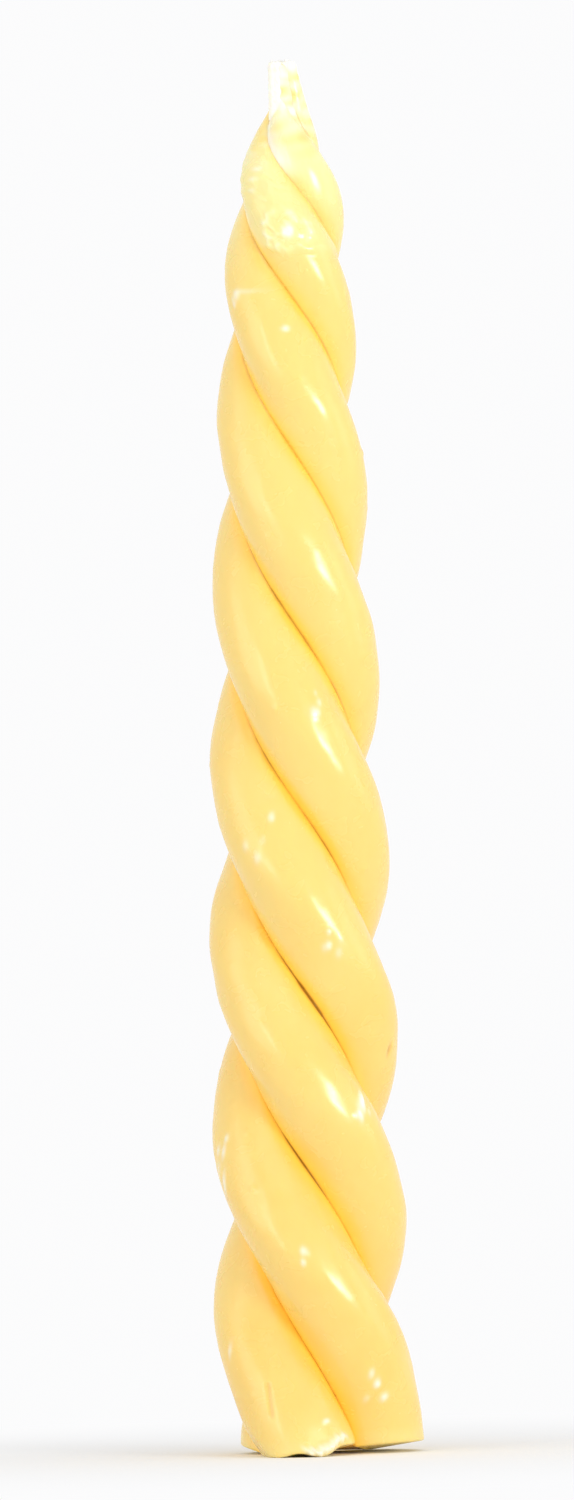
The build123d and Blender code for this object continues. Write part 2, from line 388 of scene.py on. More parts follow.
def strand_marks(strand, z, arc):
    """Blisters at seeded places all over a strand, and the rough patches and single marks that belong to it.

    Returns how far they stand out, and the shares of each place that are white, as painted glints and pale
    flecks, and dark, as painted shade.
    """
    rng = np.random.default_rng(strand.seed + MARK_SEED)
    stands, white, dark = np.zeros_like(arc), np.zeros_like(arc), np.zeros_like(arc)
    least, most = BLISTER_RISE
    rises = least + (most - least) * rng.uniform(0, 1, BLISTERS) ** BLISTER_POWER
    heights, places = rng.uniform(*BLISTER_HEIGHTS, BLISTERS), rng.uniform(*BLISTER_ARCS, BLISTERS)
    radii = rng.uniform(*BLISTER_RADIUS, BLISTERS)
    for height, place, radius, blister_rise in zip(heights, places, radii, rises):
        stands += blister_rise * soft_spot(z, arc, height, place, radius, radius)
    for patch in PATCHES:
        if patch.strand == strand.name:
            ups = rng.normal(0, patch.spread, patch.count)
            levels = rng.normal(0, patch.spread / 2, patch.count)
            radii = rng.uniform(*PATCH_RADIUS, patch.count)
            strengths = rng.uniform(*PATCH_STRENGTH, patch.count)
            for up, level, radius, strength in zip(ups, levels, radii, strengths):
                place = patch.arc + level - lay_slope(patch.height) * up
                spot = soft_spot(z, arc, patch.height + up, place, PATCH_STRETCH * radius, radius)
                stands += PATCH_RISE * strength * spot
                # White flecks that also stand in for glints: painted highlights
                white += PATCH_WHITE * strength * spot
    for mark in MARKS:
        if mark.strand == strand.name:
            spot = soft_spot(z, arc, mark.height, mark.arc, mark.length, mark.width)
            stands += mark.rise * spot
            # A mark's white is a painted glint, and its dark is painted shade
            white += mark.white * spot
            dark += mark.dark * spot
    return stands, np.clip(white, 0, 1), dark


def swings(sets, bearing):
    """A sum of cosines of a bearing, each of a share, so many times round, from a turn on."""
    return sum(share * np.cos(times * bearing + turn) for share, times, turn in sets)


def pinched_neck(along, arc):
    """The right strand's neck: a ring round a pinch, a fold below it that fades upwards, and level wrinkles.

    Returns how far they stand out, and how much paler the wax is there.
    """
    up = along - PINCH_HEIGHT
    level = arc - PINCH_ARC + lay_slope(PINCH_HEIGHT) * up
    away, bearing = np.hypot(up, level), np.arctan2(up, level)
    from_ring = away - PINCH_RADIUS * (1 + swings(PINCH_RADIUS_SWINGS, bearing))
    ring = np.exp(-((from_ring / PINCH_WIDTH) ** 2)) * (PINCH_SHARE + swings(PINCH_RISE_SWINGS, bearing))
    ring = ring * (1 + waves(PINCH_ROUGHNESS, up, level))
    crumple = waves(CRUMPLE, up, level) * np.exp(-((away / PINCH_RADIUS) ** CRUMPLE_FADE))

    edge = FOLD_HEIGHT + waves(FOLD_WANDER, 0.0, arc)
    faded = smooth_step(along, edge + FOLD_FADED, edge + FOLD_FADING)
    fold = smooth_step(along, edge, edge + FOLD_EDGE) * faded

    low, high = WRINKLE_HEIGHTS
    shown = smooth_step(along, low, low + WRINKLE_FADE) * smooth_step(along, high, high - WRINKLE_FADE)
    shown = shown * smooth_step(level, *WRINKLE_LEVELS)
    wrinkle = np.cos(2 * pi * along / WRINKLE_SPACING + waves(WRINKLE_BEND, along, arc)) * shown

    stands = PINCH_RISE * ring + crumple + FOLD_RISE * fold + WRINKLE_RISE * wrinkle
    return stands, PINCH_PALE * ring + CRUMPLE_PALE * np.maximum(crumple, 0) + FOLD_PALE * fold


def rolled_lip(along, arc):
    """The ragged lip of the front strand's foot: how far it stands out, and the share that is bruised white,
    with a painted highlight along the lip.
    """
    first, last = LIP_ARCS
    shown = smooth_step(arc, first, first + LIP_FADES[0]) * smooth_step(arc, last, last - LIP_FADES[1])
    crest = LIP_HEIGHT + LIP_CLIMB * np.maximum(arc - first, 0) + waves(LIP_WANDER, 0.0, arc)
    lip = LIP_RISE * (1 + waves(LIP_RAGGED, along, arc)) * np.exp(-(((along - crest) / LIP_WIDTH) ** 2))
    tuck = LIP_TUCK * smooth_step(crest - along, *LIP_TUCK_DEPTHS)
    # Bruised white along the lip, with a painted highlight
    bruise_and_glint = LIP_WHITE * shown * np.exp(-(((along - crest) / LIP_WHITE_WIDTH) ** 2))
    return (lip - tuck) * shown, bruise_and_glint


def scratch_line(along, arc):
    """The scratch above the front strand's foot: 1 along its middle, fading to both sides and ends."""
    (top, foot), (top_arc, foot_arc) = SCRATCH_HEIGHTS, SCRATCH_ARCS
    share = (along - top) / (foot - top)
    drawn = smooth_step(share, 0, SCRATCH_END) * smooth_step(share, 1, 1 - SCRATCH_END)
    middle = top_arc + (foot_arc - top_arc) * share
    return drawn * np.exp(-(((arc - middle) / SCRATCH_WIDTH) ** 2))


def strand_unevenness(strand, z, arc, depth):
    """How far the wax stands out from its plain outline, fading to nothing at the grooves.

    Returns that with how much paler the wax is worked, the share of each place that is white, from bruises
    and painted glints, and the share of painted shade.
    """
    along = z[:, None] + 0 * arc
    level = arc + (strand_angle(strand, z) * (strand_offset(z[0]) + strand_radius(z[0])))[:, None]
    uneven = waves(SWELL, along, arc, strand.seed)
    uneven += waves(DENT, along, level, strand.seed) + waves(RIPPLE, along, level, strand.seed)
    worked = bruise_and_glint = scratch = np.zeros_like(arc)
    if strand.name == "right":
        pinched, worked = pinched_neck(along, arc)
        uneven += pinched
    if strand.name == "front":
        lip, bruise_and_glint = rolled_lip(along, arc)
        scratch = scratch_line(along, arc)
        uneven += lip - SCRATCH_DEPTH * scratch
    size = np.clip(strand_radius(z) / FULL_RADIUS, LEAST_SIZE, 1.0)[:, None]
    marks, white, dark = strand_marks(strand, z, arc)
    stands = (uneven * size + marks) * smooth_step(depth, 0, CALM_WIDTH * size)
    return stands, worked, np.maximum(bruise_and_glint, white), np.maximum(dark, SCRATCH_DARK * scratch)


# Wax strands

# The foot's rounded edge, and the height below which its cut shapes the strand
FOOT_ROUND, CUT_HEIGHT = 0.5, 14.0
# The foot's face: its rings, and the blind hole at the wick, with its radius as a share of the wick's reach,
# how far its edge lies above the foot, and its depth
FACE_RINGS, HOLE_SHARE, HOLE_LIFT, HOLE_DEPTH = 9, 1.03, 0.1, 1.5
# The front strand's foot: the distance from the axis at which its edge is full, how far it is chipped up, and
# the arcs between which the chip comes in
EDGE_REACH, CHIP_RISE, CHIP_ARCS = 12.0, 1.9, (6.0, 12.0)
# The wavy edge of the same foot: its first and last arc and half its rise; and the slanting cut on its left,
# as its place at the floor, its run for each millimetre up and towards the back, and how soft it is
WAVE_ARCS, WAVE_RISE = (-2.5, 5.7), 0.35
FACET_PLACE, FACET_UP, FACET_BACK, FACET_SOFTNESS = -8.0, 0.76, 0.15, 0.5
# The left strand's foot rises to its left: by how much, and the places along X between which it does
LEFT_RISE, LEFT_RISE_PLACES = 1.8, (-8.0, -16.0)
# The film on a wick: the power by which the wax draws in to it, the length of its rounded end and the dip in
# that, and how far the braid shows through it
FILM_POWER, FILM_END, FILM_DIP, FILM_RELIEF = 1.5, 0.8, 0.1, 0.06
# Paler wax: high on the body, at the neck and at the tip, with the heights between which each comes in
PALE_HIGH, PALE_NECK = 0.22, 0.5
PALE_STEPS = [(PALE_HIGH, 20.0, 210.0), (PALE_NECK - PALE_HIGH, 206.0, 232.0), (0.2, 226.0, 248.0)]
FOOT_PALE, FOOT_PALE_HEIGHT = 0.3, 9.0
# Ragged edges of white, and the share of them that mottles the neck, between which heights it comes in
RAGGED, MOTTLE_SHARE, MOTTLE_HEIGHTS = Unevenness(0.1, 6, 5.0, 9.0), 0.8, (228.0, 236.0)
# White films: the shares of drawing in between which they whiten, and the depths below their ends between
# which they turn wholly white
FILM_WHITE_DRAWS, FILM_WHITE_DEPTHS = (0.45, 0.95), (2.5, 1.0)
# White wax that has run down the left strand's edge from its wick: its width, the heights between which it
# comes in, its share of white, and how ragged that is
RUN_WIDTH, RUN_HEIGHTS, RUN_WHITE, RUN_RAGGED = 2.6, (227.0, 234.0), 1.1, 2.0
# Painted shade: deeper yellow beside the grooves, where the strands shade each other: its width, the share
# that is left at the tip, and the heights between which it grows from that to all; and the width in which
# the painted glow comes in, an emission that stands in for light coming through the thin wax
CREASE_WIDTH, CREASE_TIP, CREASE_HEIGHTS, GLOW_WIDTH = 2.2, 0.4, (236.0, 200.0), 0.6


def ring_heights(strand):
    """Heights of a strand's rings, closer at the rounded foot and at the film's upper end."""
    foot = FOOT_ROUND * (1 - np.cos(np.linspace(0, pi / 2, FOOT_RINGS)))
    end = strand.film_top - FILM_END
    body = np.linspace(FOOT_ROUND, end, int((end - FOOT_ROUND) / RING_STEP) + 2)[1:-1]
    film = end + FILM_END * np.sin(np.linspace(0, pi / 2, FILM_END_RINGS))
    return np.concatenate([foot, body, film])


def strand_skin(strand, z, x, y, out, bulge):
    """Sections of a strand, pushed out by its unevenness and in at its rounded foot, turned by the lay."""
    inset = FOOT_ROUND - np.sqrt(np.clip(FOOT_ROUND**2 - np.maximum(FOOT_ROUND - z, 0) ** 2, 0, None))
    push = bulge - inset[:, None]
    x, y = x + push * np.cos(out), y + push * np.sin(out)
    angle = strand_angle(strand, z)[:, None]
    level_x = axis_x(z)[:, None] + x * np.cos(angle) - y * np.sin(angle)
    level_y = x * np.sin(angle) + y * np.cos(angle)
    return np.stack([level_x, level_y, z[:, None] + 0 * x], axis=-1)


def film_climb(strand, z):
    """Share of the taper that lies below each height, in which a strand draws in to its wick."""
    return np.clip((z - strand.hug + strand.taper) / strand.taper, 0, 1)[:, None]


def film_bearings(strand, z, bearing):
    """Bearings of a strand's points from its wick, kept from where its wax ends up, then spread evenly."""
    bearing = np.unwrap(bearing, axis=1)
    end = np.searchsorted(z, strand.wax_top)
    even = bearing[end, 0] + np.linspace(0, 2 * pi, bearing.shape[1], endpoint=False)
    settled = smooth_step(z[end:], strand.hug, strand.film_top - FILM_END)[:, None]
    bearing[end:] = bearing[end] + (even - bearing[end]) * settled
    return bearing


def draw_in_film(strand, z, skin):
    """Draws the rings of a skin in to a round just outside the wick, in which its braid shows."""
    climb = film_climb(strand, z)
    spread = skin - wick_middle(strand, z)[:, None]
    bearing = film_bearings(strand, z, np.arctan2(spread[..., 1], spread[..., 0]))
    tilted = smooth_step(z, strand.film_top - 2 * FILM_END, strand.hug)[:, None]
    skin[..., 2] += strand.tilt * np.cos(bearing) * climb**2 * tilted
    end = np.clip((z - strand.film_top + FILM_END) / FILM_END, 0, 1)[:, None]
    braid = np.cos(YARN_PAIRS * bearing) * np.cos(2 * pi * YARN_PAIRS * skin[..., 2] / YARN_TURN_HEIGHT)
    radius = WICK_REACH + (strand.film + FILM_RELIEF * braid) * np.sqrt(1 - end**2)
    hug = wick_middle(strand, skin[..., 2])
    hug[..., 0] += radius * np.cos(bearing)
    hug[..., 1] += radius * np.sin(bearing)
    draw = (climb**FILM_POWER)[..., None]
    skin[..., :2] = skin[..., :2] * (1 - draw) + hug[..., :2] * draw


def cut_foot(strand, z, arc, skin):
    """Shapes the foot of a skin.

    A tilted cut lies in a plane that touches the floor at the back. The front foot is chipped and wavy, with
    a slanting cut on its left, as a soft limit along X. The left foot rises to its left.
    """
    near_foot = smooth_step(z, CUT_HEIGHT, 0)[:, None]
    if strand.cut_tilt:
        middle, radius = lobe_circle(strand, np.zeros(1))
        back = (middle * np.sin(strand_angle(strand, np.zeros(1))) + radius)[0]
        lift = (back - skin[..., 1]) * np.tan(radians(strand.cut_tilt))
        lift += (skin[..., 0] - skin[0, :, 0].min()) * np.tan(radians(RIGHT_CUT_SIDE))
        skin[..., 2] += lift * near_foot
    if strand.name == "front":
        outer = smooth_step(np.hypot(skin[..., 0] - axis_x(z)[:, None], skin[..., 1]), 0, EDGE_REACH)
        chip = CHIP_RISE * smooth_step(arc, *CHIP_ARCS) * near_foot**2
        wave_share = np.clip((arc - WAVE_ARCS[0]) / (WAVE_ARCS[1] - WAVE_ARCS[0]), 0, 1)
        wave = WAVE_RISE * (1 - np.cos(2 * pi * wave_share)) * near_foot**4
        facet = FACET_PLACE - FACET_UP * skin[..., 2] - FACET_BACK * (skin[..., 1] - skin[..., 1].min())
        skin[..., 0] = facet + FACET_SOFTNESS * np.logaddexp(0, (skin[..., 0] - facet) / FACET_SOFTNESS)
        skin[..., 2] += (chip + wave) * outer
    if strand.name == "left":
        skin[..., 2] += LEFT_RISE * smooth_step(skin[..., 0], *LEFT_RISE_PLACES) * near_foot**2


def foot_face(strand, rim):
    """The foot's face, in rings from the end of a blind hole round the wick out to the rim."""
    middle = wick_middle(strand, np.zeros(1))[0]
    bearing = np.arctan2(rim[:, 1] - middle[1], rim[:, 0] - middle[0])
    around = np.stack([np.cos(bearing), np.sin(bearing), 0 * bearing], axis=-1)
    hole = middle + HOLE_SHARE * WICK_REACH * around
    hole[:, 2] = rim[:, 2].min() + HOLE_LIFT
    face = [hole + (rim - hole) * share for share in np.linspace(0, 1, FACE_RINGS, endpoint=False)]
    return [hole + (0, 0, HOLE_DEPTH)] + face


def wax_fields(strand, z, arc, depth, worked, bruise_and_glint, dark):
    """Shares that colour the wax: painted shade, a painted glow and a painted dark line near the grooves, and
    pale, and bruised white with painted glints.

    The painted shade is exp(-(d/w)^2) of the distance from a groove, and so is the white run on the left
    strand.
    """
    ragged = waves(RAGGED, z[:, None], arc, strand.seed)
    pale = sum(share * smooth_step(z, low, high) for share, low, high in PALE_STEPS)
    pale = pale + FOOT_PALE * smooth_step(z, FOOT_PALE_HEIGHT, 0)
    mottled = MOTTLE_SHARE * ragged * smooth_step(z, *MOTTLE_HEIGHTS)[:, None]
    at_end = smooth_step(strand.film_top - z, *FILM_WHITE_DEPTHS)[:, None]
    white = strand.white + (1 - strand.white) * at_end
    film_white = white * smooth_step(film_climb(strand, z) ** FILM_POWER + ragged, *FILM_WHITE_DRAWS)
    pale = np.maximum(pale[:, None] + worked + mottled, film_white)
    near = np.maximum(depth, 0)
    if strand.name == "left":
        run = np.exp(-((near / RUN_WIDTH) ** 2)) * (arc < 0) * smooth_step(z, *RUN_HEIGHTS)[:, None]
        bruise_and_glint = np.maximum(bruise_and_glint, np.clip((RUN_WHITE + RUN_RAGGED * ragged) * run, 0, 1))
    # Painted shade beside the grooves, and a painted glow along it that stands in for light through the wax
    left_over = CREASE_TIP + (1 - CREASE_TIP) * smooth_step(z, *CREASE_HEIGHTS)[:, None]
    crease_shade = np.exp(-((near / CREASE_WIDTH) ** 2)) * left_over
    glow = crease_shade * smooth_step(near, 0, GLOW_WIDTH)
    # Painted shade: the dark line along the middle of the grooves, in the nick and in the scratch
    slit_shade = np.maximum(smooth_step(near, SLIT_WIDTH, 0) * painted_groove_shade(strand, z, arc), dark)
    return {"crease_shade": crease_shade, "glow": glow, "slit_shade": slit_shade, "pale": pale, "bruise_and_glint": bruise_and_glint}


def wax_strand(strand, material):
    """One strand: the face of its foot, its skin up to the end of its film, and the dip in that end."""
    z = ring_heights(strand)
    x, y, out, arc, depth = strand_outline(strand, z)
    bulge, worked, bruise_and_glint, dark = strand_unevenness(strand, z, arc, depth)
    skin = strand_skin(strand, z, x, y, out, bulge)
    draw_in_film(strand, z, skin)
    cut_foot(strand, z, arc, skin)
    face = foot_face(strand, skin[0])
    dip = skin[-1] - (0, 0, FILM_DIP)
    rings = np.concatenate([face, skin, [dip]])
    fields = {}
    for name, field in wax_fields(strand, z, arc, depth, worked, bruise_and_glint, dark).items():
        fields[name] = np.concatenate([np.repeat(field[:1], len(face), axis=0), field, field[-1:]])
    return closed_skin(f"{strand.name}_wax", rings, face[0].mean(0), dip.mean(0), fields, material)


# Wax between the wicks

# Wax that has run between the front and left wicks: its lowest and highest place, how far it is sunk in the
# strands at its foot and in each film, the share of its height in which it goes from the first to the second,
# how much deeper it is sunk at the back, and how sharply it turns from one film to the other
FILL_HEIGHTS, FILL_FOOT_SINK, FILL_SINKS, FILL_FOOT_SHARE = (231.0, 249.2), 1.2, (0.05, 0.2), 0.5
FILL_BACK_SINK, FILL_SHARPNESS = 0.8, 2.5
# Its rings and the points round them, the share of its height where its dome starts, and the share of the
# dome's height that is left off, so that its last ring isn't a point
FILL_RINGS, FILL_SIDES, FILL_DOME, FILL_OPEN = 64, 96, 0.96, 0.005
# Its mottles: two sets of waves, the reach that they are laid on, and how far they stand out
FILL_MOTTLES = [Unevenness(1.0, 97, 3.0, 2.0), Unevenness(1.0, 98, 3.0, 2.0)]
FILL_REACH, FILL_MOTTLE_RISE = 2.5, 0.02
# How pale it is at its foot, how much paler at its top, and by how much the mottles change that
FILL_PALE, FILL_TOP_PALE, FILL_MOTTLE_PALE = 0.6, 0.35, 0.12


def strand_round(strand, z):
    """Middle and radius of a strand's round near the tip, where it draws in to the film on its wick."""
    draw = film_climb(strand, z) ** FILM_POWER
    angle, offset = strand_angle(strand, z), strand_offset(z)
    lobe = np.stack([axis_x(z) + offset * np.cos(angle), offset * np.sin(angle)], axis=-1)
    middle = lobe * (1 - draw) + wick_middle(strand, z)[:, :2] * draw
    return middle, strand_radius(z)[:, None] * (1 - draw) + (WICK_REACH + strand.film) * draw


def tip_fill(material):
    """Wax between two wicks: level sections that wrap both rounds, closed in a dome.

    At each bearing n the section lies at the mean of the places c + r n on the rounds, weighted by
    exp(k (c.n + r)), so that it follows the outer one and crosses straight from one to the other.
    """
    share = np.sin(np.linspace(0, pi / 2, FILL_RINGS))
    z = FILL_HEIGHTS[0] + (FILL_HEIGHTS[1] - FILL_HEIGHTS[0]) * share
    dome = np.sqrt(1 - np.clip((share - FILL_DOME) / (1 - FILL_DOME), 0, 1 - FILL_OPEN) ** 2)[:, None]
    bearing = np.linspace(0, 2 * pi, FILL_SIDES, endpoint=False)
    out = np.stack([np.cos(bearing), np.sin(bearing)], axis=-1)
    along = z[:, None] + 0 * bearing
    across, back = FILL_REACH * np.cos(bearing), FILL_REACH * np.sin(bearing)
    mottle = (waves(FILL_MOTTLES[0], along, back) + waves(FILL_MOTTLES[1], along, across)) / 2**0.5
    total = weights = 0
    for strand, film_sink in zip((STRANDS[0], STRANDS[2]), FILL_SINKS):
        middle, radius = strand_round(strand, z)
        above_foot = smooth_step(share, 0, FILL_FOOT_SHARE)[:, None]
        sink = FILL_FOOT_SINK + (film_sink - FILL_FOOT_SINK) * above_foot
        sink = sink + FILL_BACK_SINK * (1 + np.sin(bearing)) / 2
        radius = (radius - sink + FILL_MOTTLE_RISE * mottle) * dome
        weight = np.exp(FILL_SHARPNESS * (middle @ out.T + radius))
        total = total + weight[..., None] * (middle[:, None] + radius[..., None] * out)
        weights = weights + weight
    rings = np.concatenate([total / weights[..., None], along[..., None]], axis=-1)
    pale = np.clip(FILL_PALE + FILL_TOP_PALE * share[:, None] ** 2 + FILL_MOTTLE_PALE * mottle, 0, 1)
    none = np.zeros_like(pale)
    fields = {"crease_shade": none, "glow": none, "slit_shade": none, "pale": pale, "bruise_and_glint": none}
    return closed_skin("tip_fill", rings, rings[0].mean(0), rings[-1].mean(0), fields, material)


# Wicks

# A round braid of cotton yarns, four each way: their radius, how far their middles lie from the wick's, how
# far they pass over and under each other, and the height of one turn of a yarn
YARN_PAIRS, YARN_RADIUS, YARN_RING, YARN_WEAVE, YARN_TURN_HEIGHT = 4, 0.3, 0.56, 0.14, 7.0
# The straight core that they are braided round
CORE_RADIUS = 0.42
# The points round each, the height between rings where they are hidden and where they show, and how far below
# the top of the wax they count as showing
YARN_SIDES, CORE_SIDES, HIDDEN_STEP, BARE_STEP, BARE_BELOW_WAX = 8, 16, 1.0, 0.16, 6.0
# How far above the foot they start, how far the core ends below the tip, the most that a yarn does, and what
# is added to a strand's seed for that
CORD_START, CORE_SHORT, YARN_SHORT, YARN_SEED = 0.4, 0.3, 0.5, 5
# The length of a cord's rounded ends, and the share of its section that is left at each
CORD_END, CORD_END_SHARE = 0.3, 0.05
# How far above the wax they are still soaked a little, and how far below its top they are soaked through
SOAK_ABOVE, SOAK_BELOW = 3.0, 1.0


def joined(name, pieces):
    """One piece made of several."""
    with bpy.context.temp_override(active_object=pieces[0], selected_editable_objects=pieces):
        bpy.ops.object.join()
    pieces[0].name = name
    return pieces[0]


def cord_heights(strand, top):
    """Heights of a cord's rings, closer where the wick shows."""
    shows = strand.wax_top - BARE_BELOW_WAX
    bare = np.linspace(shows, top, int((top - shows) / BARE_STEP) + 1)
    return np.concatenate([np.arange(CORD_START, shows, HIDDEN_STEP), bare])


def cord_rings(middle, radius, sides, z):
    """Rings of a cord along a path, square to it, with rounded ends."""
    slope = np.gradient(middle, axis=0)
    slope /= np.linalg.norm(slope, axis=1, keepdims=True)
    side = np.cross(slope, (1.0, 0.0, 0.0))
    side /= np.linalg.norm(side, axis=1, keepdims=True)
    other = np.cross(slope, side)
    bearing = 2 * pi * np.arange(sides)[:, None] / sides
    from_end = np.minimum(np.minimum(z - z[0], z[-1] - z) / CORD_END, 1)
    radius = radius * np.sqrt(np.clip(1 - (1 - from_end) ** 2, CORD_END_SHARE, 1))[:, None, None]
    return middle[:, None] + radius * (np.cos(bearing) * side[:, None] + np.sin(bearing) * other[:, None])


def yarn_rings(strand, z, way, place):
    """A yarn winds round the wick's middle at a radius that swings out and in, four times a turn.

    The yarns that wind one way swing out where those that wind the other way swing in, so they weave.
    """
    turn = 2 * pi * z / YARN_TURN_HEIGHT
    bearing = way * turn + 2 * pi * (place + (way < 0) * 0.5) / YARN_PAIRS
    ring = YARN_RING + way * YARN_WEAVE * np.sin(YARN_PAIRS * turn)
    middle = wick_middle(strand, z)
    middle[:, 0] += ring * np.cos(bearing)
    middle[:, 1] += ring * np.sin(bearing)
    return cord_rings(middle, YARN_RADIUS, YARN_SIDES, z)


def wick_braid(strand, material):
    """A wick: a core, and yarns in two sets that wind opposite ways round it, from the foot to the tip."""
    rng = np.random.default_rng(strand.seed + YARN_SEED)
    z = cord_heights(strand, CANDLE_HEIGHT - CORE_SHORT)
    cords = [cord_rings(wick_middle(strand, z), CORE_RADIUS, CORE_SIDES, z)]
    for way in (1, -1):
        for place in range(YARN_PAIRS):
            z = cord_heights(strand, CANDLE_HEIGHT - rng.uniform(0.0, YARN_SHORT))
            cords.append(yarn_rings(strand, z, way, place))
    skins = []
    for rings in cords:
        soaked = smooth_step(rings[..., 2], strand.wax_top + SOAK_ABOVE, strand.wax_top - SOAK_BELOW)
        skins.append(closed_skin(f"{strand.name}_cord", rings, rings[0].mean(0), rings[-1].mean(0),
                                 {"soaked": soaked}, material))
    return joined(f"{strand.name}_braid", skins)


# Materials, in metres

# Wax colours: low on the body and in its cloudy patches, high on the body, at the neck, at the tip, the
# painted shade in the creases, the painted dark line in the middle of the grooves, and the white where the
# wax is bruised and where glints are painted
WAX_BODY, WAX_CLOUD, WAX_HIGH = (0.985, 0.645, 0.145), (0.99, 0.69, 0.185), (0.985, 0.70, 0.19)
WAX_NECK, WAX_TIP = (0.985, 0.84, 0.35), (0.985, 0.96, 0.82)
WAX_CREASE_SHADE, WAX_SLIT_SHADE, WAX_BRUISE_AND_GLINT = (0.975, 0.53, 0.045), (0.55, 0.25, 0.02), (0.985, 0.95, 0.8)
# The share of the painted shade at its deepest, and a painted glow standing in for light through thin wax
CREASE_SHARE, WAX_PAINTED_GLOW, PAINTED_GLOW_STRENGTH, NO_GLOW = 0.85, (1.0, 0.68, 0.04), 0.18, (0.0, 0.0, 0.0)
# The part of the clouds that goes from one colour to the other, and the part of the grain that goes from the
# least to the most roughness
CLOUD_SPAN, GRAIN_SPAN, WAX_ROUGHNESS = (0.35, 0.65), (0.3, 0.7), (0.23, 0.29)
# Cotton as it is and soaked with wax, and the roughness of each
COTTON, COTTON_SOAKED, COTTON_ROUGHNESS = (0.95, 0.94, 0.90), (0.95, 0.91, 0.70), (0.85, 0.4)


def new_material(name):
    """A material with an empty node tree, its nodes and its links."""
    material = bpy.data.materials.new(name)
    material.use_nodes = True
    material.node_tree.nodes.clear()
    return material, material.node_tree.nodes, material.node_tree.links


def node(nodes, kind, **settings):
    """A node with its settings; a setting that names an input sets that input's value."""
    made = nodes.new(kind)
    for key, value in settings.items():
        if hasattr(made, key):
            setattr(made, key, value)
        else:
            made.inputs[key.replace("_", " ")].default_value = value
    return made


def cloudy_group():
    """Shared effect: soft clouds and fine grain, worked out from a place in metres.

    Both are bent noise, each at its own size.
    """
    group = bpy.data.node_groups.new("cloudy", "ShaderNodeTree")
    group.interface.new_socket("Place", in_out="INPUT", socket_type="NodeSocketVector")
    for name in ("Cloud Size", "Grain Size"):
        group.interface.new_socket(name, in_out="INPUT", socket_type="NodeSocketFloat")
    for name in ("Clouds", "Grain"):
        group.interface.new_socket(name, in_out="OUTPUT", socket_type="NodeSocketFloat")
    nodes, links = group.nodes, group.links
    given, sent = nodes.new("NodeGroupInput"), nodes.new("NodeGroupOutput")
    for size, result, detail in (("Cloud Size", "Clouds", 3.0), ("Grain Size", "Grain", 2.0)):
        scaled = node(nodes, "ShaderNodeVectorMath", operation="DIVIDE")
        links.new(given.outputs["Place"], scaled.inputs[0])
        links.new(given.outputs[size], scaled.inputs[1])
        noise = node(nodes, "ShaderNodeTexNoise", Scale=1.0, Detail=detail, Distortion=0.4)
        links.new(scaled.outputs[0], noise.inputs["Vector"])
        links.new(noise.outputs["Fac"], sent.inputs[result])
    return group


def attribute(nodes, name):
    """A value kept on the piece's points."""
    return node(nodes, "ShaderNodeAttribute", attribute_name=name).outputs["Fac"]


def mixed(nodes, links, share, low, high):
    """A colour between two, each given as a colour or a socket."""
    mix = node(nodes, "ShaderNodeMix", data_type="RGBA")
    links.new(share, mix.inputs["Factor"])
    # A mix has sockets for every kind of value: these are the two for colours, and the one for their mix
    for socket, value in ((mix.inputs[6], low), (mix.inputs[7], high)):
        if isinstance(value, tuple):
            socket.default_value = (*value, 1)
        else:
            links.new(value, socket)
    return mix.outputs[2]


def remapped(nodes, links, value, low, high, to_low=0.0, to_high=1.0):
    """A value carried from one range to another, held at its ends."""
    ramp = node(nodes, "ShaderNodeMapRange", From_Min=low, From_Max=high, To_Min=to_low, To_Max=to_high)
    links.new(value, ramp.inputs["Value"])
    return ramp.outputs["Result"]


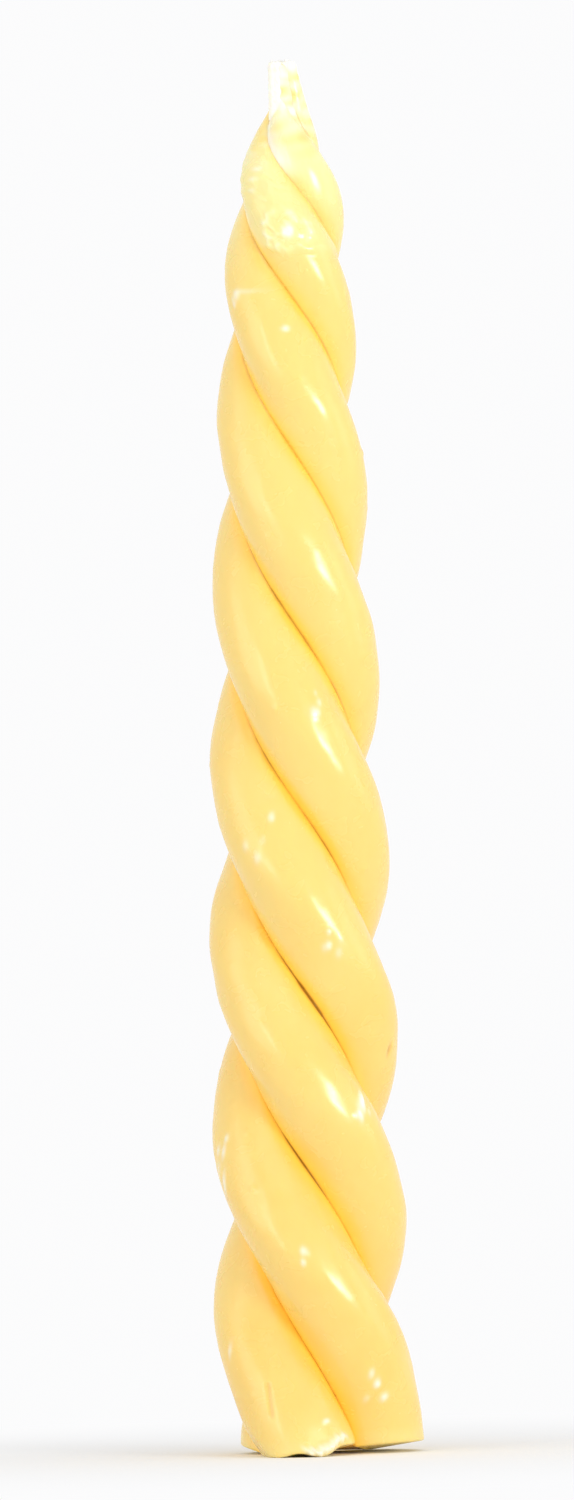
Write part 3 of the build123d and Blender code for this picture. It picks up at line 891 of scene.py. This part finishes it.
def wax_material(cloudy):
    """Translucent wax: cloudy yellow, painted shade deeper in the creases, a painted glow and painted glints,
    paler to the tip and where it is bruised.
    """
    material, nodes, links = new_material("wax")
    out = node(nodes, "ShaderNodeOutputMaterial")
    shader = node(nodes, "ShaderNodeBsdfPrincipled", IOR=1.75, Emission_Strength=PAINTED_GLOW_STRENGTH,
                  Subsurface_Weight=0.3, Subsurface_Radius=(1.0, 0.7, 0.45), Subsurface_Scale=0.0015)
    material.cycles.emission_sampling = "NONE"
    links.new(shader.outputs["BSDF"], out.inputs["Surface"])

    place = node(nodes, "ShaderNodeTexCoord").outputs["Object"]
    effect = node(nodes, "ShaderNodeGroup", node_tree=cloudy, Cloud_Size=0.018, Grain_Size=0.004)
    links.new(place, effect.inputs["Place"])
    clouds, grain = effect.outputs["Clouds"], effect.outputs["Grain"]
    pale = attribute(nodes, "pale")
    colour = mixed(nodes, links, remapped(nodes, links, clouds, *CLOUD_SPAN), WAX_BODY, WAX_CLOUD)
    colour = mixed(nodes, links, remapped(nodes, links, pale, 0, PALE_HIGH), colour, WAX_HIGH)
    colour = mixed(nodes, links, remapped(nodes, links, pale, PALE_HIGH, PALE_NECK), colour, WAX_NECK)
    # Painted shade: deeper yellow in the creases between the strands
    crease_shade = remapped(nodes, links, attribute(nodes, "crease_shade"), 0, 1, 0, CREASE_SHARE)
    colour = mixed(nodes, links, crease_shade, colour, WAX_CREASE_SHADE)
    # The painted dark line: shade along the middle of the grooves, in the nick and in the scratch
    colour = mixed(nodes, links, attribute(nodes, "slit_shade"), colour, WAX_SLIT_SHADE)
    colour = mixed(nodes, links, remapped(nodes, links, pale, PALE_NECK, 1), colour, WAX_TIP)
    # White where the wax is bruised, and painted glints and highlights
    colour = mixed(nodes, links, attribute(nodes, "bruise_and_glint"), colour, WAX_BRUISE_AND_GLINT)
    links.new(colour, shader.inputs["Base Color"])
    # Painted glow beside the grooves: an emission that stands in for light coming through the thin wax
    glow = mixed(nodes, links, attribute(nodes, "glow"), NO_GLOW, WAX_PAINTED_GLOW)
    links.new(glow, shader.inputs["Emission Color"])
    links.new(remapped(nodes, links, grain, *GRAIN_SPAN, *WAX_ROUGHNESS), shader.inputs["Roughness"])
    relief = node(nodes, "ShaderNodeBump", Strength=0.02, Distance=0.0004)
    links.new(grain, relief.inputs["Height"])
    links.new(relief.outputs["Normal"], shader.inputs["Normal"])
    return material


def cotton_material(cloudy):
    """Matt white cotton, yellowed and smoother where the wax has soaked in, with fine fibres."""
    material, nodes, links = new_material("cotton")
    out = node(nodes, "ShaderNodeOutputMaterial")
    shader = node(nodes, "ShaderNodeBsdfPrincipled")
    links.new(shader.outputs["BSDF"], out.inputs["Surface"])
    place = node(nodes, "ShaderNodeTexCoord").outputs["Object"]
    effect = node(nodes, "ShaderNodeGroup", node_tree=cloudy, Cloud_Size=0.003, Grain_Size=0.00025)
    links.new(place, effect.inputs["Place"])
    soaked = attribute(nodes, "soaked")
    links.new(mixed(nodes, links, soaked, COTTON, COTTON_SOAKED), shader.inputs["Base Color"])
    links.new(remapped(nodes, links, soaked, 0, 1, *COTTON_ROUGHNESS), shader.inputs["Roughness"])
    relief = node(nodes, "ShaderNodeBump", Strength=0.3, Distance=0.0001)
    links.new(effect.outputs["Grain"], relief.inputs["Height"])
    links.new(relief.outputs["Normal"], shader.inputs["Normal"])
    return material


# Stage, in metres

# The surround as it is seen, and the level of its light
BACKDROP, BACKDROP_LIGHT, AMBIENT = (0.97, 0.97, 0.975, 1), (1, 1, 1, 1), 0.71
# The floor: half its width, its colour, and the distances between which it fades into the surround
FLOOR_HALF, FLOOR_COLOUR, FLOOR_FADE = 1.5, (0.95, 0.96, 0.975, 1), (0.02, 0.16)
# Lamps: the place, the width and height of the panel, and the power; each faces the candle's middle
Lamp = namedtuple("Lamp", "name place width height power")
LAMPS = [
    Lamp("window", (0.64, -0.76, 0.20), 0.30, 0.18, 2.9),
    Lamp("right fill", (0.95, -0.1, 0.25), 0.4, 0.6, 0.5),
    Lamp("left fill", (-0.8, -0.45, 0.3), 0.5, 0.8, 1.1),
    Lamp("left strip", (-0.6, -0.8, 0.3), 0.12, 0.4, 0.6),
    Lamp("top", (0.1, -0.25, 1.0), 0.9, 0.9, 1.6),
]
LAMP_TARGET = (0, 0, 0.13)
# The camera stands level in front, a little left of the candle, and leans to the right
CAMERA_DISTANCE, CAMERA_HEIGHT, CAMERA_LEFT, CAMERA_ROLL = 3.0, 0.1262, 0.00265, 1.342
VIEW_HEIGHT, SENSOR = 0.2690, 36.0


def seen_directly(nodes, links):
    """1 for rays from the camera, and for rays that a glossy or clear surface sends on."""
    path = node(nodes, "ShaderNodeLightPath")
    first = node(nodes, "ShaderNodeMath", operation="MAXIMUM")
    links.new(path.outputs["Is Camera Ray"], first.inputs[0])
    links.new(path.outputs["Is Glossy Ray"], first.inputs[1])
    both = node(nodes, "ShaderNodeMath", operation="MAXIMUM")
    links.new(first.outputs[0], both.inputs[0])
    links.new(path.outputs["Is Transmission Ray"], both.inputs[1])
    return both.outputs[0]


def pale_world():
    """A white surround to look at, and a soft even light at a plain level."""
    world = bpy.data.worlds.new("studio")
    bpy.context.scene.world = world
    world.use_nodes = True
    nodes, links = world.node_tree.nodes, world.node_tree.links
    nodes.clear()
    out = node(nodes, "ShaderNodeOutputWorld")
    seen = node(nodes, "ShaderNodeBackground", Color=BACKDROP, Strength=1.0)
    light = node(nodes, "ShaderNodeBackground", Color=BACKDROP_LIGHT, Strength=AMBIENT)
    mix = node(nodes, "ShaderNodeMixShader")
    links.new(seen_directly(nodes, links), mix.inputs[0])
    links.new(light.outputs[0], mix.inputs[1])
    links.new(seen.outputs[0], mix.inputs[2])
    links.new(mix.outputs[0], out.inputs["Surface"])


def pale_floor():
    """A wide pale floor that keeps the shadow near the candle and fades into the surround further out."""
    half = FLOOR_HALF
    corners = [(-half, -half, 0), (half, -half, 0), (half, half, 0), (-half, half, 0)]
    mesh = bpy.data.meshes.new("floor")
    mesh.from_pydata(corners, [], [(0, 1, 2, 3)])
    material, nodes, links = new_material("floor")
    out = node(nodes, "ShaderNodeOutputMaterial")
    diffuse = node(nodes, "ShaderNodeBsdfDiffuse", Color=FLOOR_COLOUR)
    glow = node(nodes, "ShaderNodeEmission", Color=BACKDROP, Strength=1.0)
    coords = node(nodes, "ShaderNodeTexCoord")
    distance = node(nodes, "ShaderNodeVectorMath", operation="LENGTH")
    links.new(coords.outputs["Object"], distance.inputs[0])
    fade = node(nodes, "ShaderNodeMapRange", interpolation_type="SMOOTHSTEP", From_Min=FLOOR_FADE[0],
                From_Max=FLOOR_FADE[1])
    links.new(distance.outputs["Value"], fade.inputs["Value"])
    shown = node(nodes, "ShaderNodeMath", operation="MULTIPLY")
    links.new(fade.outputs["Result"], shown.inputs[0])
    links.new(seen_directly(nodes, links), shown.inputs[1])
    mix = node(nodes, "ShaderNodeMixShader")
    links.new(shown.outputs[0], mix.inputs[0])
    links.new(diffuse.outputs[0], mix.inputs[1])
    links.new(glow.outputs[0], mix.inputs[2])
    links.new(mix.outputs[0], out.inputs["Surface"])
    mesh.materials.append(material)
    floor = bpy.data.objects.new("floor", mesh)
    bpy.context.scene.collection.objects.link(floor)


def soft_light(lamp):
    """A rectangular lamp that faces the candle's middle."""
    data = bpy.data.lights.new(lamp.name, "AREA")
    data.shape = "RECTANGLE"
    data.size, data.size_y, data.energy = lamp.width, lamp.height, lamp.power
    light = bpy.data.objects.new(lamp.name, data)
    light.location = lamp.place
    facing = Vector(LAMP_TARGET) - Vector(lamp.place)
    light.rotation_euler = facing.to_track_quat("-Z", "Y").to_euler()
    bpy.context.scene.collection.objects.link(light)


def photo_camera():
    """A camera whose frame is as tall as the view at the candle, with the sensor on its long side."""
    data = bpy.data.cameras.new("camera")
    data.sensor_width = SENSOR
    data.lens = SENSOR * CAMERA_DISTANCE / VIEW_HEIGHT
    camera = bpy.data.objects.new("camera", data)
    camera.location = (-CAMERA_LEFT, -CAMERA_DISTANCE, CAMERA_HEIGHT)
    camera.rotation_euler = (pi / 2, radians(CAMERA_ROLL), 0)
    bpy.context.scene.collection.objects.link(camera)
    bpy.context.scene.camera = camera


bpy.context.scene.view_settings.view_transform = "Standard"
photo_camera()
pale_world()
pale_floor()
for lamp in LAMPS:
    soft_light(lamp)

cloudy = cloudy_group()
wax = wax_material(cloudy)
cotton = cotton_material(cloudy)
fill = tip_fill(wax)
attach(fill, "root")
for strand in STRANDS:
    piece = wax_strand(strand, wax)
    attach(piece, "root")
    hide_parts(f"{strand.name}_strand")
    piece = wick_braid(strand, cotton)
    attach(piece, "root")
    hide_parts(f"{strand.name}_wick")
